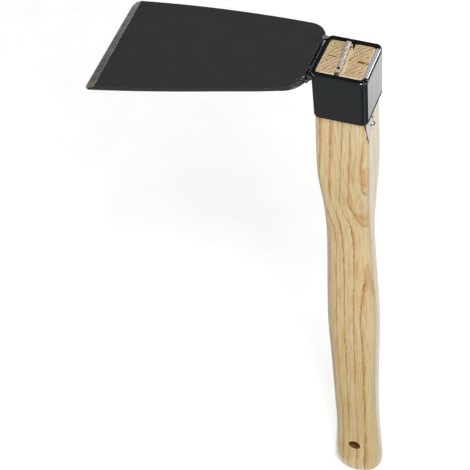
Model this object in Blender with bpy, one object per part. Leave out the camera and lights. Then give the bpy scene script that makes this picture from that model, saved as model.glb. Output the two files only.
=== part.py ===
"""Hand hoe: ash handle wedged in a lacquered steel collar, with a ground steel blade welded to it.

Units are metres and +Z is up. The hoe stands on its butt at the origin, with the handle along +Z,
the blade reaching out towards -X and the cutting edge running along Y.
"""

import math

import bmesh
import bpy
from mathutils import Matrix, Vector

# Gap left between pieces that touch
FIT_GAP = 0.0003

# Collar: a rectangular steel eye, slightly narrower at its lower end
COLLAR_WIDTH = 0.036
COLLAR_DEPTH = 0.0375
COLLAR_BOTTOM_WIDTH = 0.035
COLLAR_BOTTOM_DEPTH = 0.0355
COLLAR_HEIGHT = 0.036
COLLAR_WALL = 0.0036
COLLAR_CORNER_RADIUS = 0.0046
COLLAR_RIM_ROUNDING = 0.0012

# Handle: a square-shouldered neck under the collar, a waist, a belly and a flared butt
HANDLE_LENGTH = 0.398
HANDLE_OFFSET = -0.0011
NECK_WIDTH, NECK_DEPTH = 0.0350, 0.0308
SHOULDER_WIDTH, SHOULDER_DEPTH = 0.0342, 0.0298
WAIST_WIDTH, WAIST_DEPTH = 0.0306, 0.0250
BELLY_WIDTH, BELLY_DEPTH = 0.0347, 0.0270
GRIP_END_WIDTH, GRIP_END_DEPTH = 0.0304, 0.0250
BUTT_WIDTH, BUTT_DEPTH = 0.0336, 0.0268
BUTT_ROUNDING = 0.0055
HOLE_DIAMETER = 0.009
HOLE_HEIGHT = 0.0302

# Wedge, driven into a saw kerf across the handle's end
WEDGE_THICKNESS = 0.0029
WEDGE_EDGE_THICKNESS = 0.0008
WEDGE_WIDTH = 0.0275
WEDGE_DEPTH = 0.018
WEDGE_PROUD_FAR = 0.0021
WEDGE_PROUD_NEAR = 0.0005
KERF_OFFSET = -0.0018
KERF_BELOW_WEDGE = 0.006

# Blade: a flat plate with bowed sides, hanging a little below square to the handle
BLADE_LENGTH = 0.1426
BLADE_EDGE_WIDTH = 0.0834
BLADE_BACK_WIDTH = 0.055
BLADE_SIDE_BOW = 0.0022
BLADE_THICKNESS = 0.003
BLADE_EDGE_THICKNESS = 0.0005
BLADE_BACK_RADIUS = 0.016
BLADE_TIP_RADIUS = 0.0035
BLADE_TILT = math.radians(9.9)
BLADE_BELOW_RIM = 0.0013
BEVEL_WIDTH = 0.0070

# Weld beads in the corners over and under the blade, along the collar's wall
UPPER_WELD_LENGTH = 0.0400
UPPER_WELD_OFFSET = -0.0022
UPPER_WELD_LEG = 0.0044
UNDER_WELD_LENGTH = 0.0330
UNDER_WELD_LEG = 0.0050
WELD_RIPPLE = 0.08
WELD_RIPPLE_PITCH = 0.0062
WELD_RISE = 0.62
WELD_END_SIZE = 0.55

# Smoothness of the curved shapes
HANDLE_POINTS = 32
CORNER_STEPS = 6
SIDE_STEPS = 14
HOLE_POINTS = 24
STEPS_BETWEEN_STATIONS = 6
WELD_ARC_STEPS = 4
RINGS_PER_RIPPLE = 4

COLLAR_BOTTOM = HANDLE_LENGTH - COLLAR_HEIGHT
SHAFT_TOP = COLLAR_BOTTOM - FIT_GAP

# How far the tilt moves the blade's lower back edge towards the collar
BLADE_LEAN = BLADE_THICKNESS * math.sin(BLADE_TILT)

# Handle sections as shares of the shaft from butt to collar, with width, depth and squareness
HANDLE_STATIONS = (
    (0.03, BUTT_WIDTH, BUTT_DEPTH, 2.3),
    (0.12, GRIP_END_WIDTH, GRIP_END_DEPTH, 2.3),
    (0.475, BELLY_WIDTH, BELLY_DEPTH, 2.3),
    (0.70, WAIST_WIDTH, WAIST_DEPTH, 2.6),
    (0.85, SHOULDER_WIDTH, SHOULDER_DEPTH, 4.0),
    (1.00, NECK_WIDTH, NECK_DEPTH, 5.0),
)
TENON_SQUARENESS = 24


def clear_scene():
    for scene_object in list(bpy.data.objects):
        bpy.data.objects.remove(scene_object, do_unlink=True)


def make_material(name, colour, roughness, metallic):
    material = bpy.data.materials.new(name)
    material.use_nodes = True
    shader = material.node_tree.nodes["Principled BSDF"]
    shader.inputs["Base Color"].default_value = (*colour, 1.0)
    shader.inputs["Roughness"].default_value = roughness
    shader.inputs["Metallic"].default_value = metallic
    return material


def make_object(name, mesh_data, material):
    """Turn bmesh data into a named object with its faces pointing outwards."""
    bmesh.ops.recalc_face_normals(mesh_data, faces=mesh_data.faces)
    mesh = bpy.data.meshes.new(name)
    mesh_data.to_mesh(mesh)
    mesh_data.free()
    mesh.materials.append(material)
    piece = bpy.data.objects.new(name, mesh)
    bpy.context.scene.collection.objects.link(piece)
    return piece


def make_cutter(name, mesh_data, target):
    """Cut a hidden shape out of the target."""
    cutter = make_object(name, mesh_data, target.data.materials[0])
    cutter.hide_render = True
    cutter.display_type = "WIRE"
    cut = target.modifiers.new(name, "BOOLEAN")
    cut.operation = "DIFFERENCE"
    cut.solver = "EXACT"
    cut.object = cutter


def smooth_shading(piece, sharp_angle):
    piece.data.shade_smooth()
    piece.data.set_sharp_from_angle(angle=sharp_angle)


def add_loop(mesh_data, points):
    return [mesh_data.verts.new(point) for point in points]


def join_loops(mesh_data, lower, upper):
    """Bridge two closed loops of the same length, point by point."""
    count = len(lower)
    for index in range(count):
        after = (index + 1) % count
        mesh_data.faces.new((lower[index], lower[after], upper[after], upper[index]))


def loft(loops):
    """A closed body through a stack of loops, with a flat cap on each end."""
    mesh_data = bmesh.new()
    rings = [add_loop(mesh_data, points) for points in loops]
    for lower, upper in zip(rings, rings[1:]):
        join_loops(mesh_data, lower, upper)
    mesh_data.faces.new(rings[0])
    mesh_data.faces.new(rings[-1])
    return mesh_data


def rounded_rectangle(width, depth, radius, height):
    """Points round a rectangle with arcs for corners, at one height."""
    points = []
    for side_x, side_y, start in ((1, 1, 0), (-1, 1, 90), (-1, -1, 180), (1, -1, 270)):
        centre_x = side_x * (width / 2 - radius)
        centre_y = side_y * (depth / 2 - radius)
        for step in range(CORNER_STEPS + 1):
            angle = math.radians(start + 90 * step / CORNER_STEPS)
            x = centre_x + radius * math.cos(angle)
            y = centre_y + radius * math.sin(angle)
            points.append(Vector((x, y, height)))
    return points


def oval(width, depth, squareness, centre_x, height):
    """Points round a superellipse: 2 gives an ellipse, larger values come close to a rectangle."""
    points = []
    for step in range(HANDLE_POINTS):
        angle = 2 * math.pi * step / HANDLE_POINTS
        cosine, sine = math.cos(angle), math.sin(angle)
        x = math.copysign(abs(cosine) ** (2 / squareness), cosine) * width / 2
        y = math.copysign(abs(sine) ** (2 / squareness), sine) * depth / 2
        points.append(Vector((centre_x + x, y, height)))
    return points


def collar_size(height):
    """The collar's outer width and depth at a height."""
    share = (height - COLLAR_BOTTOM) / COLLAR_HEIGHT
    width = COLLAR_BOTTOM_WIDTH + (COLLAR_WIDTH - COLLAR_BOTTOM_WIDTH) * share
    depth = COLLAR_BOTTOM_DEPTH + (COLLAR_DEPTH - COLLAR_BOTTOM_DEPTH) * share
    return width, depth


def handle_loops():
    """Sections of the handle from the butt up to the end of the tenon."""
    loops = []
    _, width, depth, squareness = HANDLE_STATIONS[0]
    for step in range(CORNER_STEPS + 1):
        angle = math.pi / 2 * (1 - step / CORNER_STEPS)
        inset = 2 * BUTT_ROUNDING * (1 - math.cos(angle))
        height = BUTT_ROUNDING * (1 - math.sin(angle))
        loops.append(oval(width - inset, depth - inset, squareness, HANDLE_OFFSET, height))
    for lower, upper in zip(HANDLE_STATIONS, HANDLE_STATIONS[1:]):
        for step in range(1, STEPS_BETWEEN_STATIONS + 1):
            share = step / STEPS_BETWEEN_STATIONS
            eased = share * share * (3 - 2 * share)
            height = (lower[0] + (upper[0] - lower[0]) * share) * SHAFT_TOP
            width, depth, squareness = (a + (b - a) * eased for a, b in zip(lower[1:], upper[1:]))
            loops.append(oval(width, depth, squareness, HANDLE_OFFSET, height))
    trim = 2 * (COLLAR_WALL + FIT_GAP)
    for height in (SHAFT_TOP, HANDLE_LENGTH):
        width, depth = collar_size(height)
        loops.append(oval(width - trim, depth - trim, TENON_SQUARENESS, 0, height))
    return loops


def slab(sections):
    """A tapered slab along Y from rectangles given as half width, near end, far end and heights."""
    loops = []
    for half_width, near, far, near_height, far_height in sections:
        loops.append([
            Vector((KERF_OFFSET - half_width, near, near_height)),
            Vector((KERF_OFFSET + half_width, near, near_height)),
            Vector((KERF_OFFSET + half_width, far, far_height)),
            Vector((KERF_OFFSET - half_width, far, far_height)),
        ])
    return loft(loops)


def build_handle(wood):
    handle = make_object("handle", loft(handle_loops()), wood)
    smooth_shading(handle, math.radians(40))
    reach = COLLAR_DEPTH / 2
    floor = HANDLE_LENGTH - WEDGE_DEPTH - KERF_BELOW_WEDGE
    mouth = HANDLE_LENGTH + WEDGE_PROUD_FAR
    kerf = slab((
        (WEDGE_EDGE_THICKNESS / 2 + FIT_GAP, -reach, reach, floor, floor),
        (WEDGE_THICKNESS / 2 + FIT_GAP, -reach, reach, mouth, mouth),
    ))
    make_cutter("kerf_cutter", kerf, handle)
    hole = bmesh.new()
    bmesh.ops.create_cone(
        hole, cap_ends=True, segments=HOLE_POINTS, radius1=HOLE_DIAMETER / 2, radius2=HOLE_DIAMETER / 2,
        depth=2 * BUTT_DEPTH,
        matrix=Matrix.Translation((HANDLE_OFFSET, 0, HOLE_HEIGHT)) @ Matrix.Rotation(math.pi / 2, 4, "X"),
    )
    make_cutter("hanging_hole_cutter", hole, handle)
    return handle


def build_collar(lacquer):
    mesh_data = bmesh.new()
    inner_radius = COLLAR_CORNER_RADIUS - COLLAR_WALL
    rings = []
    for height in (COLLAR_BOTTOM, HANDLE_LENGTH):
        width, depth = collar_size(height)
        outer = rounded_rectangle(width, depth, COLLAR_CORNER_RADIUS, height)
        inner = rounded_rectangle(width - 2 * COLLAR_WALL, depth - 2 * COLLAR_WALL, inner_radius, height)
        rings.append((add_loop(mesh_data, outer), add_loop(mesh_data, inner)))
    (lower_outer, lower_inner), (upper_outer, upper_inner) = rings
    join_loops(mesh_data, lower_outer, upper_outer)
    join_loops(mesh_data, upper_outer, upper_inner)
    join_loops(mesh_data, upper_inner, lower_inner)
    join_loops(mesh_data, lower_inner, lower_outer)
    collar = make_object("eye_collar", mesh_data, lacquer)
    smooth_shading(collar, math.radians(40))
    rim = collar.modifiers.new("rim_rounding", "BEVEL")
    rim.width = COLLAR_RIM_ROUNDING
    rim.segments = 3
    rim.limit_method = "ANGLE"
    rim.angle_limit = math.radians(50)
    return collar


def blade_side(distance):
    """Half the blade's width at a distance from the collar, before its corners are rounded."""
    share = distance / BLADE_LENGTH
    straight = BLADE_BACK_WIDTH + (BLADE_EDGE_WIDTH - BLADE_BACK_WIDTH) * share
    return straight / 2 + 4 * BLADE_SIDE_BOW * share * (1 - share)


def side_angle(distance):
    step = BLADE_LENGTH / 1000
    return math.atan2(blade_side(distance + step) - blade_side(distance - step), 2 * step)


def blade_corner(distance, radius, start, end):
    """An arc inside the corner between the side and a square end, as distance and half width."""
    centre_y = blade_side(distance) - radius / math.cos(side_angle(distance))
    points = []
    for step in range(CORNER_STEPS + 1):
        angle = start + (end - start) * step / CORNER_STEPS
        points.append((distance + radius * math.cos(angle), centre_y + radius * math.sin(angle)))
    return points


def blade_half_outline():
    """One side of the blade from the middle of its back to the middle of its cutting edge."""
    upright = math.pi / 2
    back = blade_corner(
        BLADE_BACK_RADIUS, BLADE_BACK_RADIUS, math.pi, upright + side_angle(BLADE_BACK_RADIUS))
    tip_start = BLADE_LENGTH - BLADE_TIP_RADIUS
    tip = blade_corner(tip_start, BLADE_TIP_RADIUS, upright + side_angle(tip_start), 0)
    bevel_line = BLADE_LENGTH - BEVEL_WIDTH
    side = []
    for step in range(1, SIDE_STEPS + 1):
        distance = BLADE_BACK_RADIUS + (bevel_line - BLADE_BACK_RADIUS) * step / SIDE_STEPS
        side.append((distance, blade_side(distance)))
    return back + side + tip


def build_blade(lacquer):
    half = blade_half_outline()
    outline = half + [(distance, -half_width) for distance, half_width in reversed(half)]
    bevel_line = BLADE_LENGTH - BEVEL_WIDTH
    fall = (BLADE_THICKNESS - BLADE_EDGE_THICKNESS) / BEVEL_WIDTH
    mesh_data = bmesh.new()
    under = add_loop(mesh_data, [Vector((-d, y, -BLADE_THICKNESS)) for d, y in outline])
    upper = add_loop(mesh_data, [Vector((-d, y, -fall * max(0, d - bevel_line))) for d, y in outline])
    join_loops(mesh_data, under, upper)
    mesh_data.faces.new(under)
    flat = [vert for vert, (d, _) in zip(upper, outline) if d <= bevel_line + 1e-7]
    ground = [vert for vert, (d, _) in zip(upper, outline) if d >= bevel_line - 1e-7]
    mesh_data.faces.new(flat)
    mesh_data.faces.new(ground)
    blade = make_object("blade", mesh_data, lacquer)
    blade.location = (wall_x(0) - BLADE_LEAN, 0, HANDLE_LENGTH - BLADE_BELOW_RIM)
    blade.rotation_euler = (0, -BLADE_TILT, 0)
    smooth_shading(blade, math.radians(20))
    return blade


def wall_x(y):
    """Where the collar's wall stands beside the blade, round its corners too, with the fit gap."""
    radius = COLLAR_CORNER_RADIUS + FIT_GAP
    past_flat = max(0, abs(y) - (COLLAR_DEPTH / 2 - COLLAR_CORNER_RADIUS))
    reach = math.sqrt(max(radius ** 2 - past_flat ** 2, (radius / 2) ** 2))
    return -COLLAR_WIDTH / 2 + COLLAR_CORNER_RADIUS - reach


def weld_loops(length, offset, leg, root_height, rise):
    """Sections of a bead in the corner between the collar's wall and the blade, along Y.

    root_height is the blade's surface where it would meet the wall, and rise is 1 over the blade
    and -1 under it.
    """
    count = round(length / WELD_RIPPLE_PITCH) * RINGS_PER_RIPPLE
    slope = math.tan(BLADE_TILT)
    wall = wall_x(0)
    loops = []
    for step in range(count + 1):
        share = step / count
        y = offset + length * (share - 0.5)
        ripple = 1 - WELD_RIPPLE * math.cos(2 * math.pi * (y - offset) / WELD_RIPPLE_PITCH)
        swell = WELD_END_SIZE + (1 - WELD_END_SIZE) * math.sin(math.pi * share) ** 0.5
        size = leg * ripple * swell
        root_x = wall_x(y)
        points = [Vector((root_x, y, root_height + (root_x - wall) * slope))]
        for arc in range(WELD_ARC_STEPS + 1):
            angle = math.pi / 2 * arc / WELD_ARC_STEPS
            x = root_x + (wall - size - root_x) * math.sin(angle)
            z = root_height + (x - wall) * slope + rise * WELD_RISE * size * math.cos(angle)
            points.append(Vector((x, y, z)))
        loops.append(points)
    return loops


def build_welds(lacquer):
    plate_top = HANDLE_LENGTH - BLADE_BELOW_RIM + BLADE_LEAN * math.tan(BLADE_TILT)
    plate_under = HANDLE_LENGTH - BLADE_BELOW_RIM - BLADE_THICKNESS * math.cos(BLADE_TILT)
    gap = FIT_GAP / math.cos(BLADE_TILT)
    upper = weld_loops(UPPER_WELD_LENGTH, UPPER_WELD_OFFSET, UPPER_WELD_LEG, plate_top + gap, 1)
    under = weld_loops(UNDER_WELD_LENGTH, 0, UNDER_WELD_LEG, plate_under - gap, -1)
    for name, loops in (("upper_weld", upper), ("under_weld", under)):
        bead = make_object(name, loft(loops), lacquer)
        smooth_shading(bead, math.radians(50))


def build_wedge(steel):
    foot = HANDLE_LENGTH - WEDGE_DEPTH
    far_at_foot = collar_size(foot)[1] / 2 - COLLAR_WALL - 2 * FIT_GAP
    far = COLLAR_DEPTH / 2 - COLLAR_WALL - 2 * FIT_GAP
    near = far - WEDGE_WIDTH
    make_object("steel_wedge", slab((
        (WEDGE_EDGE_THICKNESS / 2, near, far_at_foot, foot, foot),
        (WEDGE_THICKNESS / 2, near, far, HANDLE_LENGTH + WEDGE_PROUD_NEAR, HANDLE_LENGTH + WEDGE_PROUD_FAR),
    )), steel)


def main():
    clear_scene()
    wood = make_material("varnished_ash", (0.62, 0.44, 0.24), 0.45, 0.0)
    collar_lacquer = make_material("collar_black_lacquer", (0.022, 0.024, 0.025), 0.25, 0.0)
    blade_lacquer = make_material("blade_black_lacquer", (0.030, 0.032, 0.031), 0.30, 0.0)
    weld_lacquer = make_material("lacquered_weld", (0.045, 0.044, 0.042), 0.22, 0.2)
    bright_steel = make_material("bright_steel", (0.52, 0.51, 0.49), 0.35, 1.0)
    build_handle(wood)
    build_collar(collar_lacquer)
    build_blade(blade_lacquer)
    build_welds(weld_lacquer)
    build_wedge(bright_steel)


main()
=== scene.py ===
"""Looks of a hand hoe: varnished ash handle, black lacquered steel eye and blade, bright steel wedge.

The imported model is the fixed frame. Each piece here is modelled in finer detail in the place of its
node: the hoe stands on its butt, the blade points to -X and the cutting edge runs along Y.
"""

import math
import random

import bmesh
import bpy
from mathutils import Matrix, Vector, noise


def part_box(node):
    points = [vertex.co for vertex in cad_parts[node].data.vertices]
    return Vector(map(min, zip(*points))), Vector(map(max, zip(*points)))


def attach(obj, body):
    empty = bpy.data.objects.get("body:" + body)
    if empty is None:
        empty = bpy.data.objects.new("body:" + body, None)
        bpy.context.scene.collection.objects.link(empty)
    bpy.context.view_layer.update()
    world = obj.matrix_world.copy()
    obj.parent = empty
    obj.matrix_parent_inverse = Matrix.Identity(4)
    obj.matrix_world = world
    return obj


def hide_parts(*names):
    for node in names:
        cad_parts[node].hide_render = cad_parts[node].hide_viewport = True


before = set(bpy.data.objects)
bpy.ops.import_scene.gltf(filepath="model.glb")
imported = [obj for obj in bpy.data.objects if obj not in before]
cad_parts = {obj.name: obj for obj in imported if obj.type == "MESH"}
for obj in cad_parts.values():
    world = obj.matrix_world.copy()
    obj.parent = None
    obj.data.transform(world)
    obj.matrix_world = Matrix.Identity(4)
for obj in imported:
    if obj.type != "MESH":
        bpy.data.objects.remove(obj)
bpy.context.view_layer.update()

MM = 0.001


def mm(*lengths):
    """A place or size given in millimetres, in metres."""
    return Vector(lengths) * MM


# Sizes that the frame gives
EYE_LOW, EYE_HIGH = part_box("eye_collar")
RIM = EYE_HIGH.z
EYE_WIDTH = EYE_HIGH.x - EYE_LOW.x
EYE_DEPTH = EYE_HIGH.y - EYE_LOW.y
EYE_HEIGHT = EYE_HIGH.z - EYE_LOW.z
EYE_FOOT = EYE_LOW.z

# Eye: a box collar, a little narrower at its foot
EYE_WALL = 3.6 * MM
EYE_CORNER = 4.6 * MM
EYE_FOOT_WIDTH = 35.0 * MM
EYE_FOOT_DEPTH = 35.5 * MM
EYE_CORNER_STEPS = 10
RIM_ROUND = 1.6 * MM
# Extra rings of points on the walls: millimetres over the foot and under the rim
FOOT_RINGS = (1.2, 2.7)
RIM_RINGS = (9.0, 7.0, 5.5, 4.2, 3.2)
# Matt strip along the foot, wider on the right, and the rim's blacker strip
MATT_FOOT = 1.1 * MM
MATT_FOOT_RIGHT = 2.7 * MM
BLACK_RIM = 2.4 * MM
LEFT_WALL_LOSS = 1.1 * MM
# Right rim: inset and drop of the rounding's points, from its inner end down the wall
RIGHT_RIM = (
    (3.4, 0.0), (2.5, 0.25), (1.6, 0.5), (1.2, 0.72), (0.85, 0.96), (0.5, 1.35), (0.3, 1.75), (0.2, 2.2),
    (0.14, 2.8),
)

# Handle: height, width, depth, squareness and shift along X of its sections, from the butt to the eye
HANDLE_STATIONS = (
    (10.9, 34.2, 27.3, 2.25, -0.6), (43.4, 30.8, 25.0, 2.5, -0.5), (80.0, 30.8, 25.6, 2.7, -0.95),
    (120.0, 32.9, 26.3, 2.7, -0.95), (157.0, 35.0, 26.9, 2.7, -1.05), (190.0, 33.8, 26.6, 2.7, -1.1),
    (225.0, 31.6, 25.6, 2.7, -1.15), (253.2, 30.7, 25.0, 2.9, -1.15), (280.0, 32.0, 27.2, 4.6, -0.8),
    (307.4, 34.4, 30.0, 8.0, -1.1), (335.0, 34.6, 30.7, 8.0, -0.9), (361.3, 34.8, 30.8, 6.0, -0.55),
)
SECTION_POINTS = 112
SECTION_STEP = 4.0
# Rounding of the butt's edges: height in millimetres, and power, which is 2 for a quarter circle
BUTT_LEFT = (10.0, 1.48)
BUTT_LEFT_SHARE = 0.46
BUTT_RIGHT = (3.45, 2.36)
BUTT_FRONT = (4.46, 2.0)
BUTT_HEIGHTS = (0, 0.12, 0.4, 0.9, 1.6, 2.5, 3.5, 4.8, 6.2, 7.8, 9.4)
TENON_CLEARANCE = 0.1 * MM
TENON_SQUARENESS = 24.0
# Top of the tenon: depth under the rim, and how much narrower it is there, in millimetres
TENON_TOP = ((0.7, 0), (0.2, 0.4), (0, 1.4))
HOLE_PLACE = mm(0.2, 0, 29.9)
HOLE_RADIUS = 4.1 * MM
HOLE_STRAIGHT = 24.0 * MM
# The hole's mouth flares in steps outward, each with its growth
HOLE_FLARE = ((0.5 * MM, 1.04), (0.4 * MM, 1.09), (3 * MM, 1.9))

# Splits in the end grain: both ends in millimetres, width and depth
DRYING_CRACKS = (
    ((-13.0, 1.2), (-5.4, 0.3), 0.9 * MM, 0.5 * MM),
    ((6.6, 0.0), (12.2, -0.4), 2.2 * MM, 0.5 * MM),
    ((12.2, -1.0), (14.0, -0.3), 1.0 * MM, 0.4 * MM),
    ((13.4, -0.6), (14.2, 0.6), 0.8 * MM, 0.4 * MM),
    ((1.5, -0.6), (2.5, 0.2), 1.6 * MM, 0.6 * MM),
    ((3.0, -11.6), (3.6, -11.3), 0.7 * MM, 0.4 * MM),
    ((4.2, -11.1), (4.8, -10.8), 0.7 * MM, 0.4 * MM),
    ((5.5, -10.8), (6.3, -10.5), 0.7 * MM, 0.4 * MM),
)
# The tenon's right flat runs out on the neck: a place on it, its turn and lean, and the middle
# along X of the block that pares it off
FLAT_PLACE = (15.1 * MM, -12.8 * MM, 361.5 * MM)
FLAT_TURN = 0.107
FLAT_LEAN = -0.064
FLAT_BLOCK = 19.5 * MM
# Groove along the flat's near edge: both ends, their radii, and how far its dark painted shade reaches
GROOVE_HIGH = mm(15.12, -13.6, 360.0)
GROOVE_LOW = mm(16.0, -11.9, 346.0)
GROOVE_RADII = (0.3 * MM, 0.85 * MM)
GROOVE = GROOVE_HIGH - GROOVE_LOW
GROOVE_REACH = 0.62 * MM
# Worn right lip of the kerf, and the gap that the wedge opened beside its far end
LIP_SIZE = (3.2 * MM, 23.6 * MM, 3.2 * MM)
LIP_SLOPE = 1.6 * MM
GAP_PLACE = 13.0 * MM
GAP_SIZE = (2.6 * MM, 7.4 * MM, 16 * MM)
# Order of the handle's woods: the dark cut and hollow woods are painted shade, the flat's grey a painted
# reflection
VARNISHED, SHADED_CUT, PALE, SAWN, SHADED_HOLLOW, FLAT_GLARE = range(6)

# Wedge and the saw kerf that it is driven into
WEDGE_X = -2.3 * MM
WEDGE_SKEW = -0.035
WEDGE_THICKNESS = 2.9 * MM
WEDGE_FOOT_THICKNESS = 0.8 * MM
WEDGE_FAR = 14.5 * MM
WEDGE_NEAR = -12.4 * MM
WEDGE_NOTCH = -8.7 * MM
WEDGE_NOTCH_SIZE = (1.4 * MM, 1.3 * MM, 6 * MM)
WEDGE_FOOT = 18.0 * MM
WEDGE_ROWS = 28
# How high the head stands at its near end and how much more at its far end, in millimetres
WEDGE_PROUD = 0.15
WEDGE_RISE = 1.9
# Seed of the noise that beats the head uneven, which would otherwise follow the clock
WEDGE_SEED = 1795691263
KERF_DEPTH = 24.0 * MM

# Blade, in its own plane: distances run from its back edge to the cutting edge
BLADE_LENGTH = 142.6 * MM
BLADE_EDGE_WIDTH = 83.4 * MM
BLADE_BACK_WIDTH = 55.0 * MM
BLADE_BOW = 2.2 * MM
BLADE_THICKNESS = 3.0 * MM
BLADE_EDGE_THICKNESS = 0.5 * MM
BLADE_BACK_ROUND = 16.0 * MM
BLADE_TIP_ROUND = 3.5 * MM
BLADE_TILT = math.radians(9.9)
BLADE_START = Vector((-18.816 * MM, 0, RIM - 1.3 * MM))
BEVEL_WIDTH = 6.9 * MM
BEVEL_SLANT = 0.7 * MM
# Direction across the bevel and where it starts in it, as the finished blade lies
BEVEL_ACROSS = Vector((-1.0, -0.012, 0.0))
BEVEL_INNER = 152.07 * MM
# Rows of points across the blade, and steps along its back corners, its sides and its tips
BLADE_ROWS = 30
BLADE_COLUMNS = (14, 44, 8)
# Rounding of its upper and lower edges
BLADE_TOP_ROUND = 0.9 * MM
BLADE_LOW_ROUND = 0.45 * MM
# How much fuller it is at its far side, its near side and its near back corner, in millimetres
FAR_BOW = 0.75
NEAR_BOW = 0.75
NEAR_CORNER = 4.4

# Wood grain: growth rings stand upright and cross the handle askew
RING_ACROSS = Vector((0.79, -0.61, 0.0)).normalized()
# Five rings: height up the handle and place across it along the handle, in millimetres
RING_LINES = (
    ((0, 0.0), (91, 0.4), (157, 0.0), (206, 0.7), (253, 1.0), (265, -0.8), (276, -2.8), (287, -4.8),
     (309, -4.0), (341, -2.4), (400, -1.4)),
    ((0, 4.1), (91, 4.7), (157, 5.2), (206, 5.6), (242, 5.4), (253, 5.0), (265, 4.2), (276, 2.6),
     (287, 0.8), (298, 1.0), (341, 3.3), (400, 3.8)),
    ((0, 9.6), (50, 9.4), (91, 9.5), (144, 10.1), (206, 10.8), (253, 10.7), (265, 9.9), (276, 6.9),
     (287, 5.8), (298, 6.7), (341, 9.3), (400, 9.6)),
    ((0, 13.3), (50, 13.0), (91, 13.4), (144, 14.0), (169, 13.6), (206, 14.7), (228, 14.95), (242, 16.2),
     (253, 16.6), (262, 15.6), (276, 12.6), (287, 9.9), (298, 10.9), (341, 13.4), (400, 14.6)),
    ((0, 18.0), (144, 18.6), (206, 19.4), (253, 22.0), (276, 22.0), (287, 20.8), (295, 19.4), (301, 18.4),
     (309, 17.9), (341, 19.4), (400, 20.4)),
)
# Reach of the rings' curves up and across the handle, and the even rings beyond them, in millimetres
RING_HEIGHT = 400
RING_FROM = -20
RING_TO = 30
RING_GAP = 5.0
RINGS_BEYOND = 8
# Places and reach of the early wood that fills the fifth ring's loop on the neck, its tip under the
# waist, and the fourth ring's turn
WARM_PLACES = (
    (mm(13.4, -15.0, 312.5), 12 * MM), (mm(15.6, -9.0, 221.5), 16 * MM), (mm(14.6, -13.2, 273.8), 8 * MM),
)

# Weld metal: place over the rim, radii and turn of each lump, in millimetres and degrees
UPPER_LUMPS = (
    ((-18.4, 14.6, -0.9), (1.1, 1.7, 1.2), 10), ((-18.2, 11.7, -0.9), (0.85, 1.9, 1.0), 5),
    ((-18.1, 9.0, -1.1), (0.7, 2.4, 0.95), 3), ((-17.7, 16.3, -1.0), (1.5, 1.3, 1.1), 25),
    ((-19.0, 15.9, -1.7), (1.8, 1.6, 1.2), 40), ((-18.2, 17.4, -2.4), (1.6, 1.4, 1.6), 40),
    ((-18.4, 4.5, -1.5), (0.7, 3.6, 0.75), 2), ((-18.5, -2.0, -1.6), (0.7, 4.4, 0.75), -1),
    ((-18.6, -9.5, -1.5), (0.8, 4.0, 0.8), -2), ((-18.9, -11.6, -1.2), (0.9, 1.3, 0.75), -20),
    ((-18.9, -15.6, -1.7), (1.3, 2.2, 0.95), -8), ((-20.8, -20.9, -2.0), (0.8, 2.4, 0.7), -38),
    ((-19.8, -18.6, -2.3), (1.7, 1.7, 1.0), -20), ((-18.0, -18.6, -2.0), (1.3, 1.4, 1.3), -60),
    ((-18.6, -20.8, -2.8), (1.8, 1.4, 1.2), -50), ((-17.1, -19.6, -2.7), (1.2, 1.3, 1.4), -70),
    ((-18.4, -22.6, -2.9), (1.3, 0.8, 0.8), -20), ((-20.3, -21.9, -2.9), (1.5, 0.9, 1.0), -30),
)
BARE_LUMPS = (
    ((-18.7, 15.9, -0.35), (2.3, 1.9, 0.8), 25), ((-18.0, 11.6, -0.3), (0.8, 1.3, 0.6), 5),
    ((-18.0, 9.2, -0.55), (0.6, 1.1, 0.5), 0), ((-18.1, 5.2, -0.85), (0.3, 2.6, 0.35), 2),
    ((-18.3, 1.0, -1.05), (0.26, 2.6, 0.3), 2), ((-21.0, -20.6, -1.45), (0.45, 1.1, 0.4), -40),
    ((-18.6, -22.3, -2.35), (0.5, 0.35, 0.4), -30), ((-19.0, -11.4, -0.75), (0.3, 0.6, 0.3), 0),
)
# Place and length of the spatter on the blade's near back corner, in millimetres
BLADE_SPATTER = (
    (-26.2, -29.6, 0.5), (-25.4, -28.1, 0.4), (-23.8, -29.7, 0.7), (-24.1, -27.0, 0.4), (-22.6, -28.2, 0.7),
    (-22.7, -25.5, 0.4), (-21.4, -26.8, 0.6), (-21.4, -24.3, 0.5), (-24.6, -30.6, 0.5), (-22.7, -29.6, 0.5),
    (-24.1, -22.5, 0.3), (-24.0, -18.3, 0.25), (-40.7, -32.5, 0.3),
)
# Middle of the lacquer ring under the eye's right side
RING_PLACE = mm(17.35, -4.4, 353.0)

# Paper floor: its own light to the camera, and its white where lacquer and steel mirror it
PAPER_LIFT = 0.30
PAPER_FRONT = 0.25
PAPER_SIDES = 0.10
PAPER_BACK = 0.785
PAPER_FAR = 1.25
PAPER_STRIPE = 0.28
# Directions of the fan behind the hoe, the part in front and the stripe beside it, and their edges
FAN_START = Vector((0.0, -0.03, 0.0))
FAN_MIDDLE = Vector((-0.12, 0.993, 0.0))
FAN_EDGE = (0.70, 0.76)
FAN_REACH = (0.38, 0.52)
FRONT_MIDDLE = Vector((-0.40, -0.916, 0.0))
FRONT_EDGE = (0.55, 0.9)
STRIPE_MIDDLE = Vector((0.966, -0.259, 0.0))
STRIPE_EDGE = (0.955, 0.995)

# Lamps: direction and distance from the target, size and watts
LAMP_TARGET = Vector((-0.03, 0, 0.25))
LAMPS = {
    "overhead softbox": ((0.25, -0.50, 0.83), 1.8, (0.7, 0.7), 25.0),
    "left fill": ((-0.85, -0.45, 0.28), 1.5, (1.5, 1.5), 10.5),
    "right fill": ((0.95, -0.15, 0.28), 1.5, (1.0, 1.0), 8.5),
    "right back strip": ((0.509, 0.650, 0.564), 1.603, (0.24, 0.40), 6.0),
    "back softbox": ((0.163, 0.646, 0.746), 1.615, (0.42, 0.42), 2.4),
}

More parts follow.
